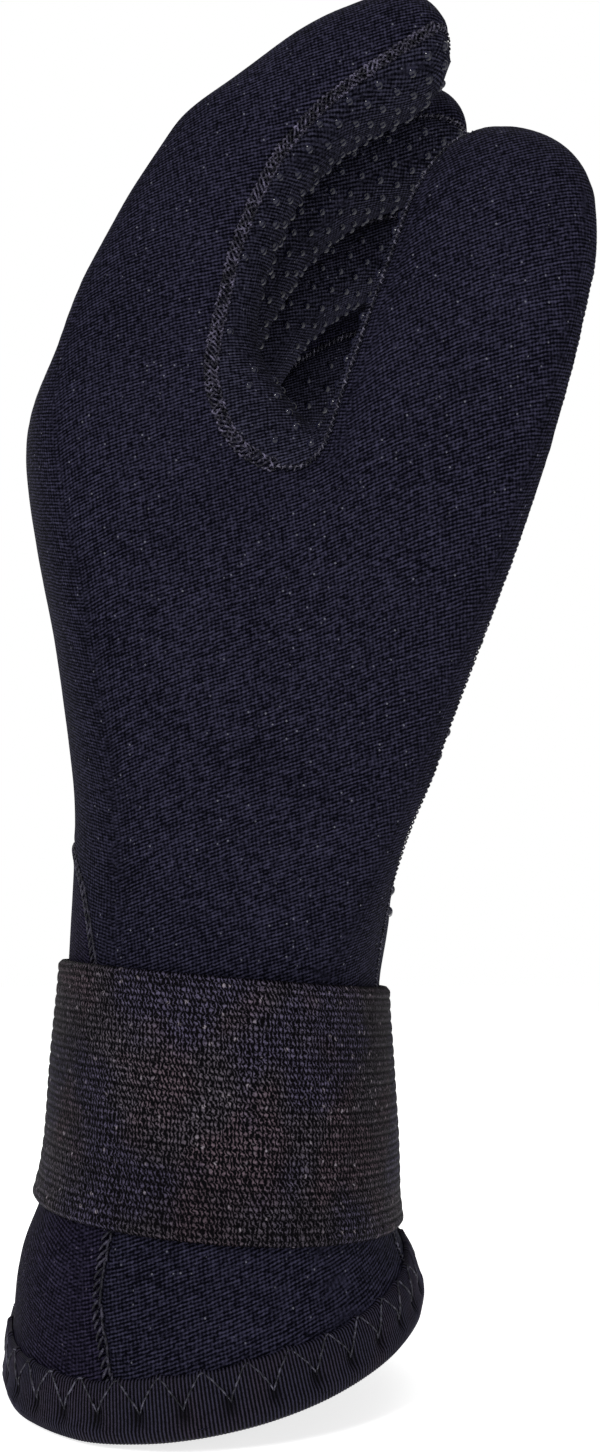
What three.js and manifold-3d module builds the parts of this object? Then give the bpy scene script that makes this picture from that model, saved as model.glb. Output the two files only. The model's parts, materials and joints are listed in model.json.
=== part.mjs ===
// Left-hand neoprene water-sports glove, shown filled as on a hand, in millimetres.
// +Z runs from the cuff's opening to the fingers, +X is the palm side, -X the back of the hand,
// -Y the thumb side and +Y the little finger's side. The origin is the centre of the cuff's opening.
import * as THREE from "three";
import { mergeVertices } from "three/addons/utils/BufferGeometryUtils.js";
import Module from "manifold-3d";

const wasm = await Module();
wasm.setup();

// Cloth and trim
const wall = 3; // neoprene laminate
const pieceGap = 0.3; // clearance between pieces that are sewn together
const strapWidth = 43;
const strapThickness = 1.7;
const strapLow = 21.7; // middle of the strap's lower edge above the opening
const strapTilt = -0.085; // slope of the strap, down towards the palm
const tabLength = 38;
const tabWidth = 34;
const tabThickness = 1.5;
const tabCorner = 6;
const bindingHeight = 7.8;
const bindingThickness = 0.9;

// Cuff, wrist and palm
const cuffHeight = 64; // opening to the strap's upper edge
const cuffDepth = 73;
const cuffWidth = 84;
const hemRisePalm = 0.158; // slope of the opening, up towards the palm
const hemRiseAcross = 0.15; // slope of the opening, up towards the little finger
const wristDepth = 58;
const wristWidth = 72;
const palmHeight = 116; // strap to the finger roots
const palmDepth = 49;
const palmWidth = 96;

// Fingers and thumb
const fingerGap = 1.6; // air between neighbouring fingers at their roots
const fingerThickness = 24; // back to palm side, near the tip
const fingerReach = 56.5; // index root to tip, towards the palm
const fingerRise = 64; // index root to tip, upwards
const fingerTip = 9.5; // length of the rounded tip
const thumbRise = 147.5; // thumb's hidden foot in the wrist to its tip
const thumbReach = 57; // thumb tip from the opening's axis, towards the palm
const thumbAside = 50.5; // thumb tip from the middle of the palm, towards the thumb side
const thumbWidth = 38;
const thumbThickness = 25;
const thumbTip = 19; // length of the rounded tip
const webReach = 30; // how far the thumb's base and its web stand out of the palm

// Gusset let into the back of the wrist
const gussetHeight = 88;
const gussetWidth = 75; // at the opening

// Sides and steps of the lofts
const trunkSides = 40;
const trunkSteps = 19;
const fingerSides = 14;
const fingerSteps = 6;
const thumbSides = 20;
const thumbSteps = 8;
const sidesFor = (sides, grow) => (grow < 0 ? sides / 2 : sides); // the inner skin is coarser

const farOut = 120; // past every surface
const rootHeight = cuffHeight + palmHeight;
const girths = {
  cuff: { depth: cuffDepth, width: cuffWidth },
  wrist: { depth: wristDepth, width: wristWidth },
  palm: { depth: palmDepth, width: palmWidth },
};

// Sections of the trunk, from the opening to the finger roots. up is a share of cuffHeight to 1, then 1 plus
// a share of palmHeight; back and palm are shares of the girth's depth, half of its width; lean is the share
// of the opening's slope, web the share of webReach, and power the squareness of the oval.
const trunkRows = [
  { up: 0.0, girth: "cuff", back: 0.495, palm: 0.527, half: 0.497, power: 2.05, lean: 1.0, web: 0.0 },
  { up: 0.094, girth: "cuff", back: 0.493, palm: 0.523, half: 0.492, power: 2.05, lean: 0.88, web: 0.0 },
  { up: 0.188, girth: "cuff", back: 0.488, palm: 0.497, half: 0.484, power: 2.05, lean: 0.5, web: 0.0 },
  { up: 0.27, girth: "cuff", back: 0.474, palm: 0.47, half: 0.473, power: 2.05, lean: 0.15, web: 0.0 },
  { up: 0.34, girth: "cuff", back: 0.436, palm: 0.469, half: 0.455, power: 2.1, lean: 0.0, web: 0.0 },
  { up: 0.5, girth: "wrist", back: 0.507, palm: 0.587, half: 0.521, power: 2.1, lean: 0.0, web: 0.0 },
  { up: 0.78, girth: "wrist", back: 0.495, palm: 0.57, half: 0.507, power: 2.1, lean: 0.0, web: 0.0 },
  { up: 1.0, girth: "wrist", back: 0.474, palm: 0.553, half: 0.5, power: 2.15, lean: 0.0, web: 0.0 },
  { up: 1.08, girth: "wrist", back: 0.469, palm: 0.603, half: 0.507, power: 2.2, lean: 0.0, web: 0.03 },
  { up: 1.17, girth: "palm", back: 0.543, palm: 0.71, half: 0.391, power: 2.3, lean: 0.0, web: 0.15 },
  { up: 1.285, girth: "palm", back: 0.539, palm: 0.58, half: 0.411, power: 2.4, lean: 0.0, web: 0.36 },
  { up: 1.414, girth: "palm", back: 0.575, palm: 0.439, half: 0.443, power: 2.5, lean: 0.0, web: 0.55 },
  { up: 1.543, girth: "palm", back: 0.62, palm: 0.367, half: 0.469, power: 2.6, lean: 0.0, web: 0.66 },
  { up: 1.655, girth: "palm", back: 0.676, palm: 0.316, half: 0.484, power: 2.7, lean: 0.0, web: 0.7 },
  { up: 1.759, girth: "palm", back: 0.721, palm: 0.271, half: 0.495, power: 2.7, lean: 0.0, web: 0.62 },
  { up: 1.845, girth: "palm", back: 0.743, palm: 0.225, half: 0.499, power: 2.7, lean: 0.0, web: 0.44 },
  { up: 1.92, girth: "palm", back: 0.704, palm: 0.19, half: 0.494, power: 2.7, lean: 0.0, web: 0.27 },
  { up: 1.97, girth: "palm", back: 0.602, palm: 0.155, half: 0.482, power: 2.6, lean: 0.0, web: 0.22 },
  { up: 2.02, girth: "palm", back: 0.49, palm: 0.11, half: 0.464, power: 2.5, lean: 0.0, web: 0.16 },
  { up: 2.05, girth: "palm", back: 0.35, palm: 0.03, half: 0.43, power: 2.4, lean: 0.0, web: 0.05 },
];

// The web swells the trunk round this direction, measured from the palm side, and pushes it along another.
const web = { centre: -52, spread: 58, push: -8 };

// A finger's own line from its root: out is a share of fingerReach, up of fingerRise, thick of
// fingerThickness, and seam the share of the half thickness at which the index finger's outer seam runs.
const fingerRows = [
  { out: 0.0, up: 0.0, thick: 1.72, seam: 0.62 },
  { out: 0.06, up: 0.175, thick: 1.42, seam: 0.66 },
  { out: 0.13, up: 0.355, thick: 1.27, seam: 0.7 },
  { out: 0.234, up: 0.565, thick: 1.17, seam: 0.72 },
  { out: 0.356, up: 0.727, thick: 1.08, seam: 0.72 },
  { out: 0.523, up: 0.855, thick: 1.0, seam: 0.68 },
  { out: 0.685, up: 0.937, thick: 0.94, seam: 0.62 },
  { out: 0.845, up: 0.984, thick: 0.87, seam: 0.45 },
  { out: 0.993, up: 0.997, thick: 0.78, seam: -0.1 },
];

// The four fingers: place counts finger pitches from the middle of the palm, arch is the knuckle's shift to
// the back, curl and fan are degrees, and sides says which seam each side has (index outer or plain).
const fingers = [
  { name: "index", place: -1.5, arch: 0, length: 1.0, curl: 0, fan: -2.0, wide: 1.0, outer: true },
  { name: "middle", place: -0.5, arch: 0.08, length: 1.06, curl: 6, fan: -0.7, wide: 1.0, outer: false },
  { name: "ring", place: 0.5, arch: 0.06, length: 1.0, curl: 9, fan: 0.7, wide: 1.0, outer: false },
  { name: "little", place: 1.47, arch: -0.09, length: 0.82, curl: 13, fan: 2.2, wide: 0.92, outer: false },
];
const plainSeam = { root: 0.7, tip: 0.08 }; // shares of the half thickness at which their other seams run

// The thumb, from deep in the wrist to its tip: up is a share of thumbRise, out of thumbReach and aside of
// thumbAside.
const thumbRows = [
  { up: 0.0, out: 0.158, aside: 0.3, wide: 0.78, thick: 1.0 },
  { up: 0.152, out: 0.3, aside: 0.42, wide: 0.97, thick: 1.08 },
  { up: 0.305, out: 0.4, aside: 0.55, wide: 1.03, thick: 1.1 },
  { up: 0.45, out: 0.535, aside: 0.71, wide: 1.03, thick: 1.06 },
  { up: 0.596, out: 0.672, aside: 0.85, wide: 1.04, thick: 1.04 },
  { up: 0.728, out: 0.79, aside: 0.95, wide: 1.0, thick: 1.0 },
  { up: 0.848, out: 0.882, aside: 1.0, wide: 0.93, thick: 0.94 },
  { up: 1.0, out: 1.0, aside: 1.0, wide: 0.86, thick: 0.9 },
];
const thumbFoot = 62; // where the thumb's own sections start, hidden in the wrist

const radians = THREE.MathUtils.degToRad;

// Value of one column of a table at a place from 0 to 1 along its rows, on a smooth curve.
function column(rows, name, along) {
  const place = along * (rows.length - 1);
  const low = Math.min(Math.floor(place), rows.length - 2);
  const value = (i) => rows[Math.min(Math.max(i, 0), rows.length - 1)][name];
  const t = place - low;
  const slopeLow = (value(low + 1) - value(low - 1)) / 2;
  const slopeHigh = (value(low + 2) - value(low)) / 2;
  const rise = value(low + 1) - value(low);
  return value(low) + t * slopeLow + t * t * (3 * rise - 2 * slopeLow - slopeHigh) +
    t * t * t * (slopeLow + slopeHigh - 2 * rise);
}

// Points of an oval, counter-clockwise, from its half sizes and its squareness.
function oval(sides, halfA, halfB, power) {
  return Array.from({ length: sides }, (_, i) => {
    const angle = (2 * Math.PI * i) / sides;
    const bend = (v) => Math.sign(v) * Math.abs(v) ** (2 / power);
    return new THREE.Vector2(halfA * bend(Math.cos(angle)), halfB * bend(Math.sin(angle)));
  });
}

// The same outline moved outwards (or inwards, if less than 0) along its own normals.
function grown(outline, distance) {
  const count = outline.length;
  return outline.map((p, i) => {
    const along = outline[(i + 1) % count].clone().sub(outline[(i + count - 1) % count]).normalize();
    return new THREE.Vector2(p.x + along.y * distance, p.y - along.x * distance);
  });
}

// Closed solid through rings of equally many points, each ring counter-clockwise seen from the last one.
function loft(rings) {
  const count = rings[0].length;
  const points = rings.flat();
  const faces = [];
  for (let r = 0; r + 1 < rings.length; r++) {
    for (let i = 0; i < count; i++) {
      const a = r * count + i;
      const b = r * count + ((i + 1) % count);
      faces.push(a, b, b + count, a, b + count, a + count);
    }
  }
  const middle = (ring) => ring.reduce((sum, p) => sum.add(p), new THREE.Vector3()).divideScalar(count);
  const foot = points.push(middle(rings[0])) - 1;
  const head = points.push(middle(rings.at(-1))) - 1;
  const last = (rings.length - 1) * count;
  for (let i = 0; i < count; i++) {
    const next = (i + 1) % count;
    faces.push(foot, next, i, head, last + i, last + next);
  }
  const geometry = new THREE.BufferGeometry().setFromPoints(points);
  geometry.setIndex(faces);
  return solidOf(geometry);
}

// A closed geometry as a manifold solid.
function solidOf(geometry) {
  const bare = geometry.clone();
  bare.deleteAttribute("normal");
  bare.deleteAttribute("uv");
  const merged = mergeVertices(bare, 1e-4);
  return new wasm.Manifold(new wasm.Mesh({
    numProp: 3,
    vertProperties: merged.attributes.position.array,
    triVerts: new Uint32Array(merged.index.array),
  }));
}

// A manifold solid as a named mesh.
function piece(name, solid, colour, roughness) {
  const made = solid.getMesh();
  const geometry = new THREE.BufferGeometry();
  const positions = new Float32Array(made.numVert * 3);
  for (let i = 0; i < made.numVert; i++) {
    positions.set(made.vertProperties.subarray(i * made.numProp, i * made.numProp + 3), i * 3);
  }
  geometry.setAttribute("position", new THREE.BufferAttribute(positions, 3));
  geometry.setIndex(new THREE.BufferAttribute(made.triVerts, 1));
  geometry.computeVertexNormals();
  const mesh = new THREE.Mesh(geometry, new THREE.MeshStandardMaterial({ color: colour, roughness, metalness: 0 }));
  mesh.name = name;
  return mesh;
}

// Height of a trunk row's middle.
const rowHeight = (up) => Math.min(up, 1) * cuffHeight + Math.max(up - 1, 0) * palmHeight;

// Trunk rows with their shares worked out in millimetres.
const trunkTable = trunkRows.map((row) => {
  const girth = girths[row.girth];
  return {
    height: rowHeight(row.up),
    back: row.back * girth.depth,
    palm: row.palm * girth.depth,
    half: row.half * girth.width,
    power: row.power,
    lean: row.lean,
    web: row.web * webReach,
  };
});

// One ring of the trunk at a place along its rows, grown by a distance, and lowered along the opening's axis.
function trunkRing(along, grow, lower = 0) {
  const at = (name) => column(trunkTable, name, along);
  const middleX = (at("palm") - at("back")) / 2;
  const halfDepth = (at("palm") + at("back")) / 2;
  const sides = sidesFor(trunkSides, grow);
  const outline = oval(sides, halfDepth, at("half"), at("power")).map((p, i) => {
    const angle = 360 * (i / sides) - (i > sides / 2 ? 360 : 0);
    const off = (angle - web.centre) / web.spread;
    const swell = Math.abs(off) < 1 ? at("web") * Math.cos((off * Math.PI) / 2) ** 2 : 0;
    p.x += middleX + swell * Math.cos(radians(web.push));
    p.y += swell * Math.sin(radians(web.push));
    return p;
  });
  return grown(outline, grow).map((p) => new THREE.Vector3(
    p.x,
    p.y,
    at("height") - lower + at("lean") * (hemRisePalm * p.x + hemRiseAcross * p.y),
  ));
}

// The whole trunk grown by a distance, and carried on below the opening or above the finger roots.
function trunkLoft(grow, lower = 0, raise = 0) {
  const rings = Array.from({ length: trunkSteps + 1 }, (_, i) => trunkRing(i / trunkSteps, grow));
  if (lower) rings.unshift(trunkRing(0, grow, lower));
  if (raise) rings.push(trunkRing(1, grow, -raise));
  return loft(rings);
}

// Everything between two heights, which may lean with the opening by a share.
function slab(low, high, leanLow = 0, leanHigh = 0) {
  const ring = (height, lean) => [[-1, -1], [1, -1], [1, 1], [-1, 1]].map(([i, j]) => new THREE.Vector3(
    i * farOut,
    j * farOut,
    height + lean * farOut * (hemRisePalm * i + hemRiseAcross * j),
  ));
  return loft([ring(low, leanLow), ring(high, leanHigh)]);
}

// Frames along a curved tube: its centre line is smooth through the points, and its sections stand square
// to it. across is the direction of each section's second axis.
function framesAlong(points, across, shares) {
  const curve = new THREE.CatmullRomCurve3(points, false, "centripetal");
  return shares.map((share) => {
    const tangent = curve.getTangentAt(share).normalize();
    const side = across.clone().addScaledVector(tangent, -across.dot(tangent)).normalize();
    const front = new THREE.Vector3().crossVectors(side, tangent);
    return { centre: curve.getPointAt(share), front, side, tangent, length: curve.getLength(), share };
  });
}

const place3 = (frame, u, v) =>
  frame.centre.clone().addScaledVector(frame.front, u).addScaledVector(frame.side, v);

// Shares along a tube with a rounded tip: even steps, then the tip's own rings, each with its narrowing.
function tubeShares(length, tip, steps) {
  const bodyEnd = 1 - tip / length;
  const body = Array.from({ length: steps + 1 }, (_, i) => ({ share: (bodyEnd * i) / steps, narrow: 1 }));
  const tipAngles = [28, 50, 68, 81];
  return body.concat(tipAngles.map((angle) => ({
    share: bodyEnd + (1 - bodyEnd) * Math.sin(radians(angle)),
    narrow: Math.cos(radians(angle)) ** 0.8,
  })));
}

// Share of a table's rows at a share of its curve's length, by the chord lengths between its points.
function rowAt(points, share) {
  const chords = points.slice(1).map((p, i) => p.distanceTo(points[i]));
  const total = chords.reduce((sum, c) => sum + c, 0);
  let left = share * total;
  for (let i = 0; i < chords.length; i++) {
    if (left <= chords[i]) return (i + left / chords[i]) / chords.length;
    left -= chords[i];
  }
  return 1;
}

// Fingers. Their feet stand hidden in the palm, and each line leaves its root on the knuckle row.
const fingerPitch = palmWidth / 4;
const fingerWidth = fingerPitch - fingerGap;
const fingerFoot = { x: -0.235 * palmDepth, z: cuffHeight + 0.72 * palmHeight, thick: 1.25, inset: 0.88 };
const fingerRoot = { x: -0.228 * palmDepth, z: rootHeight - 9.5 };
const acrossHand = new THREE.Vector3(0, 1, 0);

function fingerPath(finger) {
  const y = finger.place * fingerPitch;
  const turn = radians(finger.curl);
  const points = fingerRows.map((row) => {
    const out = row.out * fingerReach * finger.length;
    const up = row.up * fingerRise * finger.length;
    const x = out * Math.cos(turn) + up * Math.sin(turn);
    const z = up * Math.cos(turn) - out * Math.sin(turn);
    const aside = y + Math.hypot(x, z) * Math.sin(radians(finger.fan));
    return new THREE.Vector3(fingerRoot.x - finger.arch * palmDepth + x, aside, fingerRoot.z + z);
  });
  points.unshift(new THREE.Vector3(fingerFoot.x, y * fingerFoot.inset, fingerFoot.z));
  return points;
}

const fingerTable = [{ thick: fingerFoot.thick, seam: fingerRows[0].seam }, ...fingerRows];

function fingerTube(finger, grow) {
  const points = fingerPath(finger);
  const length = new THREE.CatmullRomCurve3(points, false, "centripetal").getLength();
  const shares = tubeShares(length, fingerTip, fingerSteps);
  const frames = framesAlong(points, acrossHand, shares.map((s) => s.share));
  return loft(frames.map((frame, i) => {
    const thick = column(fingerTable, "thick", rowAt(points, frame.share)) * fingerThickness;
    const outline = oval(sidesFor(fingerSides, grow), thick / 2, (finger.wide * fingerWidth) / 2, 2.3);
    return tubeRing(frame, outline, shares[i].narrow, grow);
  }));
}

// One ring of a tube with a rounded end, grown by a distance.
function tubeRing(frame, outline, narrow, grow) {
  const inward = frame.tangent.clone().multiplyScalar(grow * (1 - narrow));
  return grown(outline, grow).map((p) => place3(frame, p.x * narrow, p.y * narrow).add(inward));
}

// Thumb
const thumbTable = thumbRows.map((row) => ({
  centre: new THREE.Vector3(row.out * thumbReach, -row.aside * thumbAside, thumbFoot + row.up * thumbRise),
  wide: row.wide * thumbWidth,
  thick: row.thick * thumbThickness,
}));

function thumbTube(grow) {
  const points = thumbTable.map((row) => row.centre);
  const length = new THREE.CatmullRomCurve3(points, false, "centripetal").getLength();
  const shares = tubeShares(length, thumbTip, thumbSteps);
  const frames = framesAlong(points, acrossHand, shares.map((s) => s.share));
  return loft(frames.map((frame, i) => {
    const row = rowAt(points, frame.share);
    const [wide, thick] = ["wide", "thick"].map((name) => column(thumbTable, name, row));
    const outline = oval(sidesFor(thumbSides, grow), wide / 2, thick / 2, 2.2);
    return tubeRing(frame, outline, shares[i].narrow, grow);
  }));
}

// The outer form of the whole hand, and the same form drawn in by the cloth and open at the cuff.
const withDigits = (trunk, grow) =>
  fingers.reduce((form, finger) => form.add(fingerTube(finger, grow)), trunk).add(thumbTube(grow));
const outerForm = withDigits(trunkLoft(0), 0);
const innerTrunk = trunkLoft(-wall, bindingHeight).intersect(slab(-farOut, rootHeight - wall));
const shell = outerForm.subtract(withDigits(innerTrunk, -wall));

// Seams. The palm panel is what of the shell lies in these regions, grown by the clearance for the panel
// on the other side of the seam.
const seamX = 0.055 * palmDepth; // the side seam runs up the hand's edge here

// Rectangular region through rows of {height, lowX, highX, lowY, highY}.
function region(rows) {
  return loft(rows.map((r) => [
    new THREE.Vector3(r.lowX, r.lowY, r.height),
    new THREE.Vector3(r.highX, r.lowY, r.height),
    new THREE.Vector3(r.highX, r.highY, r.height),
    new THREE.Vector3(r.lowX, r.highY, r.height),
  ]));
}

// Where the thumb-side seam runs across the hand, from the opening to the thumb's tip.
const thumbSeam = [
  { height: -0.5 * cuffHeight, y: -0.12 * wristWidth },
  { height: 0.4 * cuffHeight, y: -0.12 * wristWidth },
  { height: cuffHeight, y: -0.15 * wristWidth },
  { height: cuffHeight + 0.26 * palmHeight, y: -0.28 * palmWidth },
  { height: cuffHeight + 0.5 * palmHeight, y: -0.38 * palmWidth },
  ...thumbTable.slice(4).map((row) => ({ height: row.centre.z, y: row.centre.y })),
];

function seamY(height) {
  const i = Math.max(1, thumbSeam.findIndex((s) => s.height >= height));
  const [a, b] = [thumbSeam[i - 1], thumbSeam[i]];
  return THREE.MathUtils.lerp(a.y, b.y, (height - a.height) / (b.height - a.height));
}

const seamTop = rootHeight; // the fingers' own seams carry on from here

function palmRegion(grow) {
  const heights = [...thumbSeam.map((s) => s.height).filter((h) => h < seamTop - 1), seamTop + grow];
  let made = region(heights.map((height) => ({
    height,
    lowX: seamX - grow,
    highX: farOut,
    lowY: seamY(height) - grow,
    highY: farOut,
  })));
  for (const finger of fingers) made = made.add(fingerRegion(finger, grow));
  return made.add(thumbRegion(grow)).add(webRegion(grow));
}

// The palm side of one finger, past its side seams.
function fingerRegion(finger, grow) {
  const points = fingerPath(finger);
  const shares = [0.17, 0.26, 0.38, 0.5, 0.62, 0.74, 0.84, 0.92, 1];
  const frames = framesAlong(points, acrossHand, shares);
  const past = framesAlong(points, acrossHand, [1])[0];
  past.centre.addScaledVector(past.tangent, wall);
  frames.push(past);
  const halfWide = (finger.wide * fingerWidth) / 2 + 0.55 * fingerGap + grow;
  return loft(frames.map((frame) => {
    const row = rowAt(points, Math.min(frame.share, 1));
    const half = (column(fingerTable, "thick", row) * fingerThickness) / 2;
    const plain = THREE.MathUtils.lerp(plainSeam.root, plainSeam.tip, THREE.MathUtils.smoothstep(frame.share, 0.17, 0.45));
    const outerLow = (finger.outer ? column(fingerTable, "seam", row) : plain) * half - grow;
    const innerLow = plain * half - grow;
    const high = half + 2 * wall;
    const corners = [[outerLow, -halfWide], [high, -halfWide], [high, halfWide], [innerLow, halfWide]];
    return corners.map(([u, v]) => place3(frame, u, v));
  }));
}

// The thumb's inner half, behind the plane of its own seam.
function thumbRegion(grow) {
  const rows = thumbTable.slice(4).map((row) => ({
    height: row.centre.z,
    lowX: row.centre.x - row.wide / 2 - wall,
    highX: farOut,
    lowY: row.centre.y - grow,
    highY: row.centre.y + row.thick / 2 + wall,
  }));
  const last = rows.at(-1);
  rows.push({ ...last, height: last.height + wall });
  return region(rows);
}

// The web between index finger and thumb: the palm cloth comes over it to the thumb side in a U.
const crotch = { left: 0.067 * palmDepth, width: 16, bottom: cuffHeight + 0.759 * palmHeight };

function webRegion(grow) {
  const radius = crotch.width / 2 + grow;
  const centre = new THREE.Vector2(crotch.left + crotch.width / 2, crotch.bottom + crotch.width / 2);
  const top = rootHeight + grow;
  const shape = new THREE.Shape();
  shape.moveTo(centre.x + radius, top);
  shape.lineTo(centre.x - radius, top);
  shape.lineTo(centre.x - radius, centre.y);
  shape.absarc(centre.x, centre.y, radius, Math.PI, 2 * Math.PI, false);
  const depth = farOut + seamY(crotch.bottom) + wall;
  const prism = new THREE.ExtrudeGeometry(shape, { depth, bevelEnabled: false, curveSegments: 9 });
  prism.rotateX(Math.PI / 2);
  prism.translate(0, seamY(crotch.bottom) + wall, 0);
  return solidOf(prism);
}

// The gusset: a tall insert with a rounded top in the back of the cuff. up and half are shares.
const gussetRows = [
  { up: 0.0, half: 1.0 },
  { up: 0.79, half: 0.66 },
  { up: 0.92, half: 0.57 },
  { up: 1.0, half: 0.33 },
];

function gussetRegion(grow) {
  const side = gussetRows.map((row) => ({
    y: (row.half * gussetWidth) / 2 + grow,
    z: row.up * gussetHeight + (row.up === 1 ? grow : 0),
  }));
  const shape = new THREE.Shape();
  shape.moveTo(-side[0].y - 2, -cuffHeight / 2);
  shape.lineTo(side[0].y + 2, -cuffHeight / 2);
  for (const p of side) shape.lineTo(p.y, p.z);
  for (const p of side.reverse()) shape.lineTo(-p.y, p.z);
  const prism = new THREE.ExtrudeGeometry(shape, { depth: farOut, bevelEnabled: false });
  // The shape's x becomes the hand's y and its y the height, and the depth runs out of the back of the hand.
  const turned = new THREE.Matrix4().makeBasis(
    new THREE.Vector3(0, -1, 0), new THREE.Vector3(0, 0, 1), new THREE.Vector3(-1, 0, 0),
  );
  return solidOf(prism.applyMatrix4(turned));
}

const palmPanel = shell.intersect(palmRegion(0));
const rest = shell.subtract(palmRegion(pieceGap));
const gusset = rest.intersect(gussetRegion(0));
const backPanel = rest.subtract(gussetRegion(pieceGap));

// A band round the trunk between two distances from it.
const sleeve = (inner, outer) => trunkLoft(outer).subtract(trunkLoft(inner, wall, wall));

// The elastic strap, a band round the wrist just clear of the neoprene.
const strapOuter = pieceGap + strapThickness;
const strapSlab = slab(strapLow, strapLow + strapWidth).transform(
  new THREE.Matrix4().set(1, 0, 0, 0, 0, 1, 0, 0, strapTilt, 0, 1, 0, 0, 0, 0, 1).toArray(),
);
const strap = sleeve(pieceGap, strapOuter).intersect(strapSlab);

// The hook tab that closes the strap, on the little finger's side.
function tab() {
  const inner = strapOuter + pieceGap;
  const band = sleeve(inner, inner + tabThickness);
  const low = strapLow + (strapWidth - tabWidth) / 2;
  const middle = 0.02 * wristDepth;
  const shape = new THREE.Shape();
  shape.moveTo(middle - tabLength / 2, low);
  shape.lineTo(middle + tabLength / 2 - tabCorner, low);
  shape.absarc(middle + tabLength / 2 - tabCorner, low + tabCorner, tabCorner, -Math.PI / 2, 0, false);
  shape.lineTo(middle + tabLength / 2, low + tabWidth - tabCorner);
  shape.absarc(middle + tabLength / 2 - tabCorner, low + tabWidth - tabCorner, tabCorner, 0, Math.PI / 2, false);
  shape.lineTo(middle - tabLength / 2, low + tabWidth);
  const prism = new THREE.ExtrudeGeometry(shape, { depth: farOut, bevelEnabled: false, curveSegments: 4 });
  prism.rotateX(Math.PI / 2);
  prism.translate(0, farOut, 0);
  return band.intersect(solidOf(prism));
}

// The binding: a folded tape over the opening's edge, inside and out.
function binding() {
  const outer = trunkLoft(pieceGap + bindingThickness, pieceGap + bindingThickness);
  const hollow = trunkLoft(-wall - pieceGap - bindingThickness, 2 * bindingHeight);
  const slot = trunkLoft(pieceGap, pieceGap).subtract(trunkLoft(-wall - pieceGap, 2 * bindingHeight));
  const tape = outer.subtract(hollow).subtract(slot);
  return tape.intersect(slab(-farOut, bindingHeight, 1, 1));
}

const glove = new THREE.Group();
glove.add(
  piece("back_panel", backPanel, 0x1b1b28, 0.85),
  piece("palm_panel", palmPanel, 0x1a1a24, 0.8),
  piece("wrist_gusset", gusset, 0x1a1826, 0.85),
  piece("wrist_strap", strap, 0x29252a, 0.75),
  piece("strap_tab", tab(), 0x201e24, 0.8),
  piece("hem_binding", binding(), 0x1b1924, 0.7),
);

export default glove;
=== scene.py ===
import json
import math

import bpy
import numpy as np
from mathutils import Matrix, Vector
from mathutils.bvhtree import BVHTree

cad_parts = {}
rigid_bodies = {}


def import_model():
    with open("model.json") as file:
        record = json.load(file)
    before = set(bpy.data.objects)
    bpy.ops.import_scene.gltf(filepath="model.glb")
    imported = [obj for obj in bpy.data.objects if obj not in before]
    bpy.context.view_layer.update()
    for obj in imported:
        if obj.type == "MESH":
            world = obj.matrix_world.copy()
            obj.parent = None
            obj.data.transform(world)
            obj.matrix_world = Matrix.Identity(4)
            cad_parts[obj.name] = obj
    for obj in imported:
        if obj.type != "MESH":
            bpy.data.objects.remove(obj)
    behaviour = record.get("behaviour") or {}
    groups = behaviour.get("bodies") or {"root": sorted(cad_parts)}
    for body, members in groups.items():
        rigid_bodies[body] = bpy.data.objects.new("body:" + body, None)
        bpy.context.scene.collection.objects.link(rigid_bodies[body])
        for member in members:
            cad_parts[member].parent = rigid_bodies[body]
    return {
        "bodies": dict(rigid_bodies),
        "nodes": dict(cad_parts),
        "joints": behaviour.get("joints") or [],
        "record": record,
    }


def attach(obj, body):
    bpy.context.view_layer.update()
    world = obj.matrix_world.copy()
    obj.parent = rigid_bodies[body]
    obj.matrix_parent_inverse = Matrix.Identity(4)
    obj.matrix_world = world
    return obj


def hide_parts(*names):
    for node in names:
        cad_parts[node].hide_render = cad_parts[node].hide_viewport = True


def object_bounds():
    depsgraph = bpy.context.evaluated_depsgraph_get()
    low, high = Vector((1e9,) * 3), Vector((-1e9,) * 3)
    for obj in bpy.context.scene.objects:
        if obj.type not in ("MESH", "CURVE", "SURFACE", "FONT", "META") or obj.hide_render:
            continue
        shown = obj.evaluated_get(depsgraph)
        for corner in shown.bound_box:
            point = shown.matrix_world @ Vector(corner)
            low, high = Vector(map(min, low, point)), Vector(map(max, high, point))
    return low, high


# A left neoprene glove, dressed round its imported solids. Everything is in metres, +Z runs from the
# cuff to the fingers, +X is the palm side and -Y the thumb side.
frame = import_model()
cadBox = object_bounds()
mm = 0.001
rng = np.random.default_rng(7)

studio = {
    "cameraPlace": (17.0 * mm, -280.0 * mm, 68.5 * mm),
    "cameraTilt": 9.0,         # degrees above level, looking along +Y
    "lens": 35.1,
    "floorGap": 0.3 * mm,      # air under the lowest point of the cuff
    "floorSize": 6.0,
    "floorColour": (0.82, 0.82, 0.82),
    "floorGlow": 0.75,         # meets the white behind it without a horizon
    "worldColour": (1.0, 1.0, 1.0),
    "worldLight": 0.3,
    "lightAim": (0.015, 0.0, 0.12),
    "lights": (                # name, place, size and power
        ("keyLight", (-0.35, -0.75, 0.55), 0.16, 4.6),
        ("fillLight", (0.65, -0.6, 0.15), 0.7, 1.7),
        ("rimLight", (-0.5, 0.7, 0.5), 0.6, 1.4),
        ("topLight", (0.1, 0.1, 1.0), 0.9, 3.0),
    ),
}


# Camera, floor and light

def makeCamera():
    bpy.ops.object.camera_add(
        location=studio["cameraPlace"],
        rotation=(math.radians(90.0 + studio["cameraTilt"]), 0.0, 0.0),
    )
    camera = bpy.context.object
    camera.name = "camera"
    camera.data.lens = studio["lens"]
    camera.data.clip_start = 0.01
    bpy.context.scene.camera = camera


def areaLight(name, place, size, power):
    bpy.ops.object.light_add(type="AREA", location=place)
    light = bpy.context.object
    light.name = name
    light.data.size = size
    light.data.energy = power
    aim = Vector(studio["lightAim"]) - Vector(place)
    light.rotation_euler = aim.to_track_quat("-Z", "Y").to_euler()


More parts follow.
